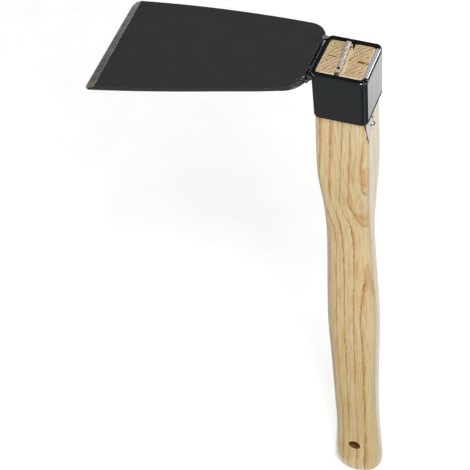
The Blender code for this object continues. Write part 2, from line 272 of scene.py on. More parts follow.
# Camera, as it stood for the photograph
CAMERA_PLACE = Vector((0.32243, -0.92519, 1.30509))
CAMERA_RIGHT = Vector((0.93878, 0.33880, -0.06249))
CAMERA_UP = Vector((-0.20953, 0.70545, 0.67708))
CAMERA_LENS = 168.5


# Colours and shader nodes

def srgb(hex_colour):
    """An sRGB hex colour as linear light."""
    channels = [int(hex_colour[i:i + 2], 16) / 255 for i in (0, 2, 4)]
    return tuple(c / 12.92 if c <= 0.04045 else ((c + 0.055) / 1.055) ** 2.4 for c in channels) + (1.0,)


def grey(value):
    return (value, value, value, 1.0)


def set_inputs(node, inputs):
    """Sets a node's inputs, or links those whose value comes out of another node."""
    for key, value in inputs.items():
        if isinstance(value, bpy.types.NodeSocket):
            node.id_data.links.new(value, node.inputs[key])
        else:
            node.inputs[key].default_value = value


def add_node(kind, inputs, tree=None, **settings):
    """Adds a shader node with its inputs and properties, to the tree that its inputs come from."""
    if tree is None:
        tree = next(value.id_data for value in inputs.values() if isinstance(value, bpy.types.NodeSocket))
    node = tree.nodes.new("ShaderNode" + kind)
    for key, value in settings.items():
        setattr(node, key, value)
    set_inputs(node, inputs)
    return node


def source(tree, kind, output):
    """An output of a node that has no inputs."""
    return add_node(kind, {}, tree).outputs[output]


def new_material(name):
    """A material, and a point's place on its object."""
    material = bpy.data.materials.new(name)
    material.use_nodes = True
    return material, source(material.node_tree, "TexCoord", "Object")


def shaded(material, looks):
    """Sets the inputs of a material's shader, and gives the material back."""
    set_inputs(material.node_tree.nodes["Principled BSDF"], looks)
    return material


def axis(vector, letter):
    return add_node("SeparateXYZ", {0: vector}).outputs[letter]


def maths(operation, *values, **settings):
    return add_node("Math", dict(enumerate(values)), operation=operation, **settings).outputs[0]


def vector_maths(operation, *values):
    """Works on vectors; a dot product, a distance and a length are numbers."""
    outputs = add_node("VectorMath", dict(enumerate(values)), operation=operation).outputs
    return outputs["Value" if operation in ("DOT_PRODUCT", "DISTANCE", "LENGTH") else "Vector"]


def ranged(value, low, high, to_low=0.0, to_high=1.0, shape="LINEAR"):
    """Brings a value from one range to another."""
    return add_node("MapRange", {
        "Value": value, "From Min": low, "From Max": high, "To Min": to_low, "To Max": to_high,
    }, interpolation_type=shape).outputs[0]


def ramp(value, *stops):
    """Colours a value: each stop has its place and a grey level, a hex colour or a linear colour."""
    node = add_node("ValToRGB", {0: value})
    elements = node.color_ramp.elements
    while len(elements) > 1:
        elements.remove(elements[-1])
    elements[0].position = stops[0][0]
    for index, (position, look) in enumerate(stops):
        element = elements.new(position) if index else elements[0]
        if isinstance(look, str):
            look = srgb(look)
        element.color = look if isinstance(look, tuple) else grey(look)
    return node.outputs[0]


def rough(place, scale, detail=2.0):
    """Noise; a scale for each direction draws it out."""
    if isinstance(scale, tuple):
        place = add_node("Mapping", {"Vector": place, "Scale": scale}).outputs[0]
        scale = 1.0
    return add_node("TexNoise", {"Vector": place, "Scale": scale, "Detail": detail}).outputs[0]


def grain(place, scale, low, high, to_low=0.0, to_high=1.0, detail=2.0):
    """Noise brought to a range."""
    return ranged(rough(place, scale, detail), low, high, to_low, to_high)


def bump(height, strength, depth, under=None):
    """Relief of a depth in millimetres, on top of another one if there is one."""
    inputs = {"Height": height, "Strength": strength, "Distance": depth * MM}
    if under:
        inputs["Normal"] = under
    return add_node("Bump", inputs).outputs[0]


def times(amount, *others):
    """Multiplies amounts, and keeps them between 0 and 1."""
    for other in others:
        amount = maths("MULTIPLY", amount, other, use_clamp=True)
    return amount


def stain(amount, under, over):
    """Lays one colour over another by an amount."""
    under, over = (srgb(look) if isinstance(look, str) else look for look in (under, over))
    return add_node("Mix", {0: amount, 6: under, 7: over}, data_type="RGBA").outputs[2]


# Materials

def ring_line(up, ring):
    """Where a growth ring lies across the handle, on a curve along its height."""
    curve = add_node("FloatCurve", {"Value": up})
    # The curve runs from 0 to 1 both ways
    points = [(height / RING_HEIGHT, (across - RING_FROM) / (RING_TO - RING_FROM)) for height, across in ring]
    line = curve.mapping.curves[0].points
    line[0].location, line[1].location = points[0], points[-1]
    for point in points[1:-1]:
        line.new(*point)
    curve.mapping.update()
    return ranged(curve.outputs[0], 0.0, 1.0, RING_FROM * MM, RING_TO * MM)


def ring_count(place):
    """Counts the growth rings across the handle; the whole part steps up at each ring."""
    wander = grain(place, (60, 60, 20), 0.0, 1.0, -0.0005, 0.0005)
    across = maths("ADD", vector_maths("DOT_PRODUCT", place, RING_ACROSS), wander)
    up = ranged(axis(place, "Z"), 0.0, RING_HEIGHT * MM)
    lines = [ring_line(up, ring) for ring in RING_LINES]
    far = RINGS_BEYOND * RING_GAP * MM
    edges = [maths("SUBTRACT", lines[0], far), *lines, maths("ADD", lines[-1], far)]
    total = 0.0
    for low, high, rings in zip(edges, edges[1:], (RINGS_BEYOND, 1, 1, 1, 1, RINGS_BEYOND)):
        total = maths("ADD", total, ranged(across, low, high, 0.0, rings))
    return total


def varnished_ash():
    """Ash: pale tan wood whose rings each start with a brown porous band, under satin varnish."""
    material, place = new_material("varnished ash")
    ragged = grain(place, (1400, 1400, 140), 0.3, 0.7, -0.03, 0.03)
    share = maths("FRACT", maths("ADD", ring_count(place), ragged))

    # Early wood: an orange band that comes and goes, with brown pores drawn out along its start
    spread = times(share, grain(place, (88, 88, 27), 0.36, 0.64, 1.35, 0.5))
    soft = ramp(
        spread, (0.0, 1.0), (0.09, 0.85), (0.17, 0.25), (0.26, 0.0), (0.45, 0.0), (0.50, 0.30),
        (0.56, 0.0), (1.0, 0.0))
    patchy = grain(place, (90, 90, 30), 0.35, 0.58, 0.35, 1.2)
    fibres = grain(place, (1200, 1200, 110), 0.35, 0.65, 0.45, 1.3)
    band = times(soft, patchy, fibres)
    warm = 0.0
    for warm_place, reach in WARM_PLACES:
        away = vector_maths("DISTANCE", place, warm_place)
        warm = maths(
            "MAXIMUM", warm, ranged(away, reach, reach / 2, 0.0, 1.0, "SMOOTHSTEP"))
    cold = maths("SUBTRACT", 1.0, warm)
    band = maths("MAXIMUM", band, times(warm, ranged(share, 0.6, 0.3), fibres))
    start_line = ramp(
        share, (0.0, 0.6), (0.02, 1.0), (0.09, 0.8), (0.15, 0.0), (0.97, 0.0), (1.0, 0.6))
    dashes = grain(place, (1300, 1300, 240), 0.43, 0.57, 0.0, 0.95)
    gone = grain(place, (60, 60, 26), 0.38, 0.54, 0.2, 1.0)
    pores = times(start_line, dashes, gone, cold)

    # Between the bands the wood shifts from yellow to pink and carries fine pale and dark fibres
    along = ranged(axis(place, "Z"), 0.03, 0.37)
    yellow = ramp(along, (0.0, "C9B478"), (0.5, "D1BB80"), (1.0, "D3C192"))
    pink = ramp(along, (0.0, "CFB286"), (0.5, "D6BA90"), (1.0, "D8C4A2"))
    colour = stain(grain(place, (260, 260, 14), 0.40, 0.60), yellow, pink)
    colour = stain(grain(place, (1100, 1100, 60), 0.44, 0.68, 0.0, 0.9), colour, "BF9C68")
    colour = stain(grain(place, (500, 500, 20), 0.52, 0.72, 0.0, 0.7), colour, "CFC39A")
    colour = stain(band, colour, ramp(along, (0.0, "AC8A4E"), (0.45, "BC8B4E"), (0.75, "C28C4E")))
    colour = stain(pores, colour, "866436")

    # Painted sheen: where it turns to the sides the wood is greyer, and paler still on the left, standing in
    # for the varnish's glancing reflection
    facing = axis(source(material.node_tree, "NewGeometry", "Normal"), "X")
    sideways = maths("ABSOLUTE", facing)
    colour = stain(ranged(sideways, 0.45, 0.95, 0.0, 0.35), colour, "CFC3A4")
    colour = stain(ranged(facing, -0.35, -0.95, 0.0, 0.65), colour, "D6C9C0")
    return shaded(material, {
        "Base Color": colour, "Roughness": grain(place, (260, 260, 8), 0.3, 0.7, 0.28, 0.40),
        "IOR": 1.5, "Specular IOR Level": 0.45, "Coat Weight": 1.0, "Coat Roughness": 0.12,
        "Normal": bump(grain(place, (1100, 1100, 90), 0.3, 0.7), 0.2, 0.06),
    })


def sawn_ash():
    """The handle's sawn end under matt varnish: each ring and half ring is a row of dots."""
    material, place = new_material("sawn end grain")
    wobble = grain(place, (300, 300, 300), 0.3, 0.7, -0.1, 0.45)
    share = maths("FRACT", maths("MULTIPLY_ADD", ring_count(place), 2.0, wobble))
    rows = ramp(share, (0.0, 1.0), (0.18, 0.9), (0.36, 0.1), (0.9, 0.0), (1.0, 1.0))
    dots = grain(place, (1150, 1150, 1150), 0.42, 0.54, 0.3, 1.0, 1.0)
    patchy = grain(place, (190, 190, 190), 0.35, 0.6, 0.75, 1.0)
    pale = stain(grain(place, (300, 300, 300), 0.35, 0.65), "BEAB81", "BC9F7E")
    return shaded(material, {
        "Base Color": stain(times(rows, dots, patchy), pale, "70522A"), "Roughness": 0.7,
        "Normal": bump(dots, 0.3, 0.05),
    })


def bare_ash(name, dark, light, scale):
    """Ash cut after varnishing, matt. Dark brown, it is painted shade in the kerf, splits, groove and hole;
    grey, a painted reflection; near white, a painted highlight.
    """
    material, place = new_material(name)
    colour = stain(grain(place, scale, 0.35, 0.65), dark, light)
    return shaded(material, {"Base Color": colour, "Roughness": 0.75})


def black_lacquer(name, colour, run_scale, run_depth, gloss, coat, cloud=0.2):
    """Stoved black lacquer on steel: nearly black, glossy, with faint orange peel and runs."""
    material, place = new_material(name)
    dust = rough(place, 90.0, 4.0)
    dark, light = ((*(channel * (1 + more) for channel in srgb(colour)[:3]), 1.0) for more in (-cloud, cloud))
    peel = bump(rough(place, 420.0, 1.0), 0.3, 0.02)
    runs = bump(rough(place, run_scale), 1.0, run_depth, peel)
    return shaded(material, {
        "Base Color": ramp(dust, (0.35, dark), (0.65, light)),
        "Roughness": ranged(dust, 0.3, 0.7, gloss, gloss + 0.2 * cloud),
        "IOR": 1.5, "Coat Weight": coat, "Coat Roughness": 0.08, "Normal": runs, "Coat Normal": runs,
    })


def ground_steel():
    """Bare carbon steel off a grinding belt: fine scratches square to the cutting edge."""
    material, place = new_material("ground carbon steel")
    # Belt scratches of 0.2 mm are drawn 0.9 mm apart, so that they show
    lines = rough(place, (90, 1150, 90), 3.0)
    bright = ramp(lines, (0.36, "5A5A54"), (0.64, "A9A8A2"))
    shade = stain(grain(place, (25, 25, 25), 0.35, 0.65, 0.0, 0.6), bright, "696863")
    # A warm patch where the near tip got hot on the belt
    shade = stain(ranged(axis(place, "Y"), -0.034, -0.038), shade, "A29684")
    # From the lacquer's ragged end to the cutting edge: brighter where the belt went on and off
    ragged = grain(place, (450, 450, 450), 0.35, 0.65, -0.3 * MM, 0.4 * MM)
    across = maths("SUBTRACT", vector_maths("DOT_PRODUCT", place, BEVEL_ACROSS), ragged)
    share = ranged(across, BEVEL_INNER, BEVEL_INNER + BEVEL_WIDTH)
    edges = ramp(
        share, (0.03, 0.1), (0.12, 0.45), (0.22, 0.3), (0.32, 0.0), (0.75, 0.0), (0.92, 0.5))
    shade = stain(edges, shade, "ABACA3")
    shade = stain(ranged(share, 0.03, 0.0), shade, "2A2B2A")
    return shaded(material, {
        "Base Color": shade, "Metallic": 1.0, "Roughness": 0.36, "Normal": bump(lines, 0.4, 0.05)})


def hammered_steel():
    """Rolled mild steel with hammer marks on its head, darker and browner in the dents and palest on the high
    spots.
    """
    material, place = new_material("hammered mild steel")
    dents = rough(place, 800.0)
    return shaded(material, {
        "Base Color": ramp(dents, (0.30, "6E6155"), (0.42, "C2B8AC"), (0.70, "F4F0EA")),
        "Metallic": 0.85, "Roughness": 0.5, "Normal": bump(dents, 0.7, 0.2),
    })


def tinted_steel():
    """Weld metal tinted lilac by its heat, where the lacquer burnt off: rough and dull in patches."""
    material, place = new_material("heat tinted weld steel")
    patches = grain(place, (700, 700, 700), 0.38, 0.62)
    return shaded(material, {
        "Base Color": stain(patches, "55505C", "B9B5C2"), "Metallic": 0.6, "Roughness": 0.4})


def paper_floor():
    """Matt white paper: it shows as white behind the hoe and keeps its shadow."""
    material, place = new_material("matt white paper")
    tone = stain(grain(place, (40, 40, 40), 0.4, 0.6), "E4E4E2", "E8E8E6")
    shaded(material, {"Base Color": tone, "Roughness": 0.9, "Specular IOR Level": 0.1})
    tree = material.node_tree
    lit = tree.nodes["Principled BSDF"].outputs[0]
    camera_ray, glossy_ray, clear_ray = (
        source(tree, "LightPath", "Is %s Ray" % kind) for kind in ("Camera", "Glossy", "Transmission"))

    # Seen by the camera the paper gets the rest of its white on top of the light that falls on it
    lift = add_node("Emission", {"Color": grey(1.0), "Strength": PAPER_LIFT}, tree).outputs[0]
    seen = add_node("AddShader", {0: lit, 1: lift}).outputs[0]
    direct = add_node("MixShader", {0: camera_ray, 1: lit, 2: seen}).outputs[0]

    # Mirrored in lacquer and steel it is white in a fan behind the hoe, brighter farther off
    flat = vector_maths("MULTIPLY", place, (1, 1, 0))
    reach = vector_maths("SUBTRACT", flat, FAN_START)
    way = vector_maths("NORMALIZE", reach)
    behind, before, beside = (
        vector_maths("DOT_PRODUCT", way, there) for there in (FAN_MIDDLE, FRONT_MIDDLE, STRIPE_MIDDLE))
    bright = ranged(vector_maths("LENGTH", reach), *FAN_REACH, PAPER_BACK, PAPER_FAR)
    dim = ranged(before, *FRONT_EDGE, PAPER_SIDES, PAPER_FRONT, "SMOOTHSTEP")
    stripe = ranged(beside, *STRIPE_EDGE, 0.0, PAPER_STRIPE, "SMOOTHSTEP")
    level = ranged(behind, *FAN_EDGE, maths("ADD", dim, stripe), bright, "SMOOTHSTEP")
    white = add_node("Emission", {"Color": grey(1.0), "Strength": level}).outputs[0]
    mirrored = maths("MAXIMUM", glossy_ray, clear_ray)
    whole = add_node("MixShader", {0: mirrored, 1: direct, 2: white}).outputs[0]
    set_inputs(tree.nodes["Material Output"], {"Surface": whole})
    return material


# Modelling in code

def start(name, add, **settings):
    """Adds a primitive with nothing else selected, names it and applies its place."""
    bpy.ops.object.select_all(action="DESELECT")
    add(**settings)
    piece = bpy.context.object
    piece.name = piece.data.name = name
    bpy.ops.object.transform_apply(location=True, rotation=True, scale=True)
    return piece


def block(name, place, size):
    """Adds a box by its middle and its sizes."""
    return start(name, bpy.ops.mesh.primitive_cube_add, size=1, location=place, scale=size)


def take(*several):
    """Selects these objects alone; the last is the active one."""
    bpy.ops.object.select_all(action="DESELECT")
    for piece in several:
        piece.select_set(True)
    bpy.context.view_layer.objects.active = several[-1]


def open_mesh(piece):
    take(piece)
    bpy.ops.object.mode_set(mode="EDIT")


def close_mesh():
    bpy.ops.object.mode_set(mode="OBJECT")


def face_outward():
    bpy.ops.mesh.select_all(action="SELECT")
    bpy.ops.mesh.normals_make_consistent(inside=False)


def add_loop(place, across):
    """Adds a line of points all round the mesh, where a plane meets it."""
    bpy.ops.mesh.select_all(action="SELECT")
    bpy.ops.mesh.bisect(plane_co=place, plane_no=across)


def pick(piece, kind, wanted):
    """Selects the vertices, edges or faces that pass a test, in edit mode."""
    bpy.ops.mesh.select_mode(type=kind)
    bpy.ops.mesh.select_all(action="DESELECT")
    mesh = bmesh.from_edit_mesh(piece.data)
    mesh.normal_update()
    for element in {"VERT": mesh.verts, "EDGE": mesh.edges, "FACE": mesh.faces}[kind]:
        if wanted(element):
            element.select_set(True)
    mesh.select_flush_mode()
    bmesh.update_edit_mesh(piece.data)


def round_edges(piece, wanted, rounding, steps, **settings):
    """Rounds the edges that pass a test, in edit mode."""
    pick(piece, "EDGE", wanted)
    bpy.ops.mesh.bevel(offset=rounding, segments=steps, affect="EDGES", **settings)


def move_points(piece, place_for):
    """Moves each vertex of a mesh to the place that a function gives for it."""
    for vertex in piece.data.vertices:
        vertex.co = place_for(vertex.co.copy())
    piece.data.update()


def modify(piece, kind, **settings):
    """Adds a modifier and applies it."""
    take(piece)
    modifier = piece.modifiers.new(kind.title(), kind)
    for key, value in settings.items():
        setattr(modifier, key, value)
    bpy.ops.object.modifier_apply(modifier=modifier.name)


def cut(piece, cutter):
    """Cuts the cutter out of the piece and throws the cutter away."""
    modify(piece, "BOOLEAN", operation="DIFFERENCE", solver="EXACT", object=cutter)
    bpy.data.objects.remove(cutter, do_unlink=True)


def smooth(piece, degrees):
    take(piece)
    bpy.ops.object.shade_smooth_by_angle(angle=math.radians(degrees))


def dress(piece, slot, node, *materials):
    """Gives a piece its materials and its body, and hides the frame's part of its node. The slot is not used.
    """
    piece.data.materials.clear()
    for material in materials:
        piece.data.materials.append(material)
    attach(piece, "root")
    if node:
        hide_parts(node)


def middle(edge):
    return (edge.verts[0].co + edge.verts[1].co) / 2


# Handle

def section_point(step, section):
    """One point round a section: squareness 2 is an ellipse, larger is nearer a rectangle."""
    height, width, depth, squareness, shift = section
    angle = 2 * math.pi * step / SECTION_POINTS
    across, along = abs(math.cos(angle)) / (width / 2), abs(math.sin(angle)) / (depth / 2)
    reach = (across ** squareness + along ** squareness) ** (-1 / squareness)
    return Vector((shift + reach * math.cos(angle), reach * math.sin(angle), height))


def station_at(height):
    """Width, depth, squareness and shift at a height, on a smooth curve through the stations."""
    last = len(HANDLE_STATIONS) - 1
    index = max(k for k in range(last) if HANDLE_STATIONS[k][0] <= height + 1e-6)
    low, high = HANDLE_STATIONS[index], HANDLE_STATIONS[index + 1]
    before, after = HANDLE_STATIONS[max(index - 1, 0)], HANDLE_STATIONS[min(index + 2, last)]
    run = high[0] - low[0]
    t = (height - low[0]) / run
    values = []
    for k in range(1, 5):
        leave = run * (high[k] - before[k]) / (high[0] - before[0])
        arrive = run * (after[k] - low[k]) / (after[0] - low[0])
        values.append(
            (2 * t ** 3 - 3 * t ** 2 + 1) * low[k] + (t ** 3 - 2 * t ** 2 + t) * leave
            + (3 * t ** 2 - 2 * t ** 3) * high[k] + (t ** 3 - t ** 2) * arrive)
    return values


def butt_inset(height, rounding, power):
    """How far a rounding of the butt's edge draws in at a height."""
    under = max(0.0, 1 - height / rounding)
    return rounding * (1 - (1 - under ** power) ** (1 / power))


def handle_sections():
    """Height, width, depth, squareness and shift of each section, from the butt to the end grain."""
    sections = []
    first, last = HANDLE_STATIONS[0], HANDLE_STATIONS[-1]
    for height in BUTT_HEIGHTS:
        left = BUTT_LEFT_SHARE * butt_inset(height, *BUTT_LEFT)
        right = butt_inset(height, *BUTT_RIGHT)
        front = butt_inset(height, *BUTT_FRONT)
        sections.append((
            height, first[1] - left - right, first[2] - 2 * front, first[3], first[4] + (left - right) / 2))
    count = round((last[0] - first[0]) / SECTION_STEP)
    for step in range(count + 1):
        height = first[0] + (last[0] - first[0]) * step / count
        sections.append((height, *station_at(height)))
    sections.append((last[0] + 0.3, last[1] - 0.5, last[2] - 0.5, last[3], last[4]))
    sections = [(*(value * MM for value in section[:3]), section[3], section[4] * MM) for section in sections]
    trim = 2 * (EYE_WALL + TENON_CLEARANCE)
    sections.append((EYE_FOOT, EYE_FOOT_WIDTH - trim, EYE_FOOT_DEPTH - trim, TENON_SQUARENESS, 0.0))
    for depth, less in TENON_TOP:
        size = (EYE_WIDTH - trim - less * MM, EYE_DEPTH - trim - less * MM)
        sections.append((RIM - depth * MM, *size, TENON_SQUARENESS, 0.0))
    return sections


def place_ring(piece, section, old_shift):
    """Moves the selected ring of points onto a section."""
    mesh = bmesh.from_edit_mesh(piece.data)
    for vertex in mesh.verts:
        if vertex.select:
            angle = math.atan2(vertex.co.y, vertex.co.x - old_shift)
            vertex.co = section_point(round(angle * SECTION_POINTS / (2 * math.pi)), section)
    bmesh.update_edit_mesh(piece.data)


def thin_left_wall(co):
    """The eye's left wall is thinner at its near corner, and the tenon fills it."""
    up = min(max((co.z - EYE_FOOT) / EYE_HEIGHT, 0), 1)
    near = 0.65 - 0.35 * co.y / (EYE_DEPTH / 2)
    left = min(max((-co.x - 4 * MM) / (9 * MM), 0), 1)
    co.x -= LEFT_WALL_LOSS * near * up * left
    return co


def hole_drill():
    """A drill that leaves the hole's mouth flared at both ends."""
    drill = start(
        "drill", bpy.ops.mesh.primitive_cylinder_add, vertices=48, radius=HOLE_RADIUS,
        depth=HOLE_STRAIGHT, location=HOLE_PLACE, rotation=(math.pi / 2, 0, 0))
    open_mesh(drill)
    for side in (1, -1):
        pick(drill, "FACE", lambda face: face.normal.y * side > 0.9)
        for push, grow in HOLE_FLARE:
            bpy.ops.mesh.extrude_region_move(TRANSFORM_OT_translate={"value": (0, side * push, 0)})
            bpy.ops.transform.resize(value=(grow, 1, grow), center_override=HOLE_PLACE)
    close_mesh()
    return drill


def askew(co):
    """The saw ran a little askew across the tenon."""
    co.x += WEDGE_SKEW * co.y
    return co


def kerf_saw():
    """The saw kerf, opened to a wedge shape by the wedge."""
    saw = block(
        "saw", (WEDGE_X, 0, RIM - KERF_DEPTH / 2 + 1 * MM),
        (WEDGE_THICKNESS + 0.5 * MM, EYE_DEPTH, KERF_DEPTH + 2 * MM))
    open_mesh(saw)
    pick(saw, "VERT", lambda vertex: vertex.co.z < RIM - KERF_DEPTH / 2)
    bpy.ops.transform.resize(value=(0.35, 1, 1), center_override=(WEDGE_X, 0, RIM))
    close_mesh()
    move_points(saw, askew)
    return saw


def lip_chisel():
    """Takes the kerf's right lip down to a smooth slope."""
    chisel = block("chisel", (0.3 * MM, 0.1 * MM, RIM), LIP_SIZE)
    open_mesh(chisel)
    pick(chisel, "VERT", lambda vertex: vertex.co.z < RIM and vertex.co.x > 1 * MM)
    bpy.ops.transform.translate(value=(0, 0, LIP_SLOPE))
    close_mesh()
    move_points(chisel, askew)
    return chisel


def split_pocket():
    """The three-cornered gap that the wedge opened beside its far end."""
    pocket = block("pocket", (0, GAP_PLACE, RIM - 7 * MM), GAP_SIZE)

    def narrow(co):
        co.x = 1.2 * MM + 0.15 * co.x if co.y < GAP_PLACE else co.x - 0.2 * MM
        return co

    move_points(pocket, narrow)
    return pocket


def neck_flat(y, z):
    """Where the tenon's right flat, which runs out on the neck, lies along X."""
    return FLAT_PLACE[0] + FLAT_TURN * (y - FLAT_PLACE[1]) + FLAT_LEAN * (z - FLAT_PLACE[2])


def neck_plane():
    """Pares the flat off the neck's right side, up to the tenon's shoulder."""
    plane = block("plane", (FLAT_BLOCK, -5 * MM, 351 * MM), (6 * MM, 22 * MM, 21.6 * MM))

    def lean(co):
        if co.x < FLAT_BLOCK:
            co.x = neck_flat(co.y, co.z)
        return co

    move_points(plane, lean)
    return plane


def neck_groove():
    """A fine groove that the plane left along the flat's near edge."""
    groove = start(
        "groove", bpy.ops.mesh.primitive_cone_add, vertices=4, radius1=GROOVE_RADII[0],
        radius2=GROOVE_RADII[1], depth=GROOVE.length)
    turn = GROOVE.to_track_quat("Z", "Y").to_matrix()
    move_points(groove, lambda co: (GROOVE_HIGH + GROOVE_LOW) / 2 + turn @ co)
    return groove


def drying_crack(near_end, far_end, width, depth):
    """A thin split, pointed at both ends."""
    start_at, end_at = Vector((*near_end, 0)) * MM, Vector((*far_end, 0)) * MM
    along = end_at - start_at
    centre = (start_at + end_at) / 2 + Vector((0, 0, RIM))
    return start(
        "split", bpy.ops.mesh.primitive_cylinder_add, vertices=8, radius=0.5, depth=2 * depth,
        location=centre, rotation=(0, 0, math.atan2(along.y, along.x)), scale=(along.length, width, 1))


def cut_surface(face):
    """Which of the handle's woods a face shows: at the hole, on the neck's flat, then in the end."""
    centre, normal = face.center, face.normal
    if (centre - HOLE_PLACE).length < 16 * MM:
        away = math.hypot(centre.x - HOLE_PLACE.x, centre.z - HOLE_PLACE.z)
        # The hole's bore is painted dark brown as shade
        return SHADED_HOLLOW if away < HOLE_RADIUS * 1.06 and abs(normal.y) < 0.8 else VARNISHED
    if 340 * MM < centre.z < EYE_FOOT and centre.x > 14 * MM:
        past = centre.x - neck_flat(centre.y, centre.z)
        # The groove's wood is painted dark brown as shade
        if past < -0.05 * MM and (centre - GROOVE_LOW).cross(GROOVE.normalized()).length < GROOVE_REACH:
            return SHADED_HOLLOW
        # The flat is painted pale grey as the white room's reflection on it
        return FLAT_GLARE if abs(past) < 0.03 * MM else VARNISHED
    side = max(abs(centre.x), abs(centre.y)) > 14.9 * MM and centre.z < RIM - 1.2 * MM
    if centre.z < RIM - KERF_DEPTH - MM or side:
        return VARNISHED
    # Down in the kerf and the splits the wood is painted dark brown as shade; only the lip's slope stays pale
    if normal.z > 0.93:
        return SAWN if centre.z > RIM - 0.3 * MM else SHADED_CUT
    # The gap that the wedge opened is painted dark brown as shade
    if centre.y > 10.5 * MM and abs(centre.x) < 3 * MM:
        return SHADED_HOLLOW
    return PALE if centre.z > RIM - 2 * MM and normal.z > 0.3 else SHADED_CUT


def model_handle(*woods):
    sections = handle_sections()
    handle = start(
        "ash_handle", bpy.ops.mesh.primitive_circle_add, vertices=SECTION_POINTS, radius=8 * MM,
        fill_type="NGON", location=(0, 0, 0))
    open_mesh(handle)
    bpy.ops.mesh.select_all(action="SELECT")
    place_ring(handle, sections[0], 0.0)
    for before, section in zip(sections, sections[1:]):
        bpy.ops.mesh.extrude_region_move(TRANSFORM_OT_translate={"value": (0, 0, section[0] - before[0])})
        place_ring(handle, section, before[4])
    face_outward()
    close_mesh()
    move_points(handle, thin_left_wall)
    for tool in (hole_drill, kerf_saw, lip_chisel, split_pocket, neck_plane, neck_groove):
        cut(handle, tool())
    for crack in DRYING_CRACKS:
        cut(handle, drying_crack(*crack))
    dress(handle, "handle_wood", "handle", *woods)
    for face in handle.data.polygons:
        face.material_index = cut_surface(face)
    smooth(handle, 28)


# Eye

def rim_edge(edge, top, outer):
    """Whether an edge runs round the rim, at the top or foot, on the outer or inner side."""
    if len(edge.link_faces) != 2:
        return False
    level = RIM if top else EYE_FOOT
    if any(abs(vertex.co.z - level) > 0.01 * MM for vertex in edge.verts):
        return False
    side = [face for face in edge.link_faces if abs(face.normal.z) < 0.5]
    if len(side) != 1:
        return False
    return (side[0].normal.dot(middle(edge) * Vector((1, 1, 0))) > 0) == outer


def outer_side(co):
    """How far a point of the eye lies inside its outer wall, and which way is out."""
    share = (co.z - EYE_FOOT) / EYE_HEIGHT
    half_width_there = (EYE_FOOT_WIDTH + (EYE_WIDTH - EYE_FOOT_WIDTH) * share) / 2
    half_depth_there = (EYE_FOOT_DEPTH + (EYE_DEPTH - EYE_FOOT_DEPTH) * share) / 2
    past = Vector((abs(co.x) - half_width_there + EYE_CORNER, abs(co.y) - half_depth_there + EYE_CORNER))
    if past.x > 0 and past.y > 0:
        out = past.normalized()
        inset = EYE_CORNER - past.length
    elif past.x > past.y:
        out = Vector((1, 0))
        inset = EYE_CORNER - past.x
    else:
        out = Vector((0, 1))
        inset = EYE_CORNER - past.y
    return inset, Vector((math.copysign(out.x, co.x), math.copysign(out.y, co.y), 0))


def ease(value, low, high):
    share = min(max((value - low) / (high - low), 0), 1)
    return share * share * (3 - 2 * share)


def file_rim(co):
    """Rounds the rim wide at the front, leaves it sharp at the back, and beats it over on the right."""
    inset, out = outer_side(co)
    drop = RIM - co.z
    right = ease(out.x, 0.75, 0.98)
    if drop < RIM_ROUND * 1.02 and inset < RIM_ROUND * 1.02:
        wide = 0.3 + 0.8 * ease((out.x - out.y) / math.sqrt(2), -0.5, 0.6)
        turn = math.atan2(RIM_ROUND - inset, RIM_ROUND - drop) / (math.pi / 2)
        beaten = RIGHT_RIM[round(turn * (len(RIGHT_RIM) - 1))]
        new_inset = wide * inset + (beaten[0] * MM - wide * inset) * right
        co = co - out * (new_inset - inset)
        co.z = RIM - wide * drop - (beaten[1] * MM - wide * drop) * right
    elif inset < 0.1 * MM and drop < 9 * MM:
        co -= out * 0.12 * MM * ((9 * MM - drop) / (6 * MM)) ** 2 * right
    return co


def model_eye(lacquer, matt, even):
    eye = block("lacquered_eye", (0, 0, RIM - EYE_HEIGHT / 2), (EYE_WIDTH, EYE_DEPTH, EYE_HEIGHT))
    open_mesh(eye)
    round_edges(
        eye, lambda edge: abs(edge.verts[0].co.z - edge.verts[1].co.z) > EYE_HEIGHT / 2,
        EYE_CORNER, EYE_CORNER_STEPS)
    pick(eye, "FACE", lambda face: abs(face.normal.z) > 0.9)
    bpy.ops.mesh.inset(thickness=EYE_WALL, use_even_offset=True)
    bpy.ops.mesh.delete(type="FACE")
    pick(eye, "EDGE", lambda edge: edge.is_boundary)
    bpy.ops.mesh.bridge_edge_loops()
    face_outward()
    pick(eye, "VERT", lambda vertex: vertex.co.z < RIM - EYE_HEIGHT / 2)
    bpy.ops.transform.resize(
        value=(EYE_FOOT_WIDTH / EYE_WIDTH, EYE_FOOT_DEPTH / EYE_DEPTH, 1), center_override=(0, 0, EYE_FOOT))
    for top, outer, rounding, steps in (
        (True, True, RIM_ROUND, 8), (True, False, 0.15 * MM, 2),
        (False, True, 0.4 * MM, 3), (False, False, 0.3 * MM, 2),
    ):
        round_edges(eye, lambda edge: rim_edge(edge, top, outer), rounding, steps)
    for height in [EYE_FOOT + up * MM for up in FOOT_RINGS] + [RIM - down * MM for down in RIM_RINGS]:
        add_loop((0, 0, height), (0, 0, 1))
    close_mesh()
    move_points(eye, lambda co: thin_left_wall(co) if outer_side(co)[0] > 0.7 * EYE_WALL else co)
    move_points(eye, file_rim)
    dress(eye, "collar_lacquer", "eye_collar", lacquer, matt, even)
    for face in eye.data.polygons:
        foot = MATT_FOOT_RIGHT if face.normal.x > 0.8 else MATT_FOOT
        if face.center.z < EYE_FOOT + foot:
            face.material_index = 1
        elif face.center.z > RIM - BLACK_RIM and face.normal.z > 0.03:
            face.material_index = 2
    smooth(eye, 35)
    modify(eye, "WEIGHTED_NORMAL", keep_sharp=True, weight=60)


# Blade

def half_width(distance):
    """Half the blade's width at a distance from its back, before its corners are rounded."""
    share = distance / BLADE_LENGTH
    straight = BLADE_BACK_WIDTH + (BLADE_EDGE_WIDTH - BLADE_BACK_WIDTH) * share
    return straight / 2 + 4 * BLADE_BOW * share * (1 - share)


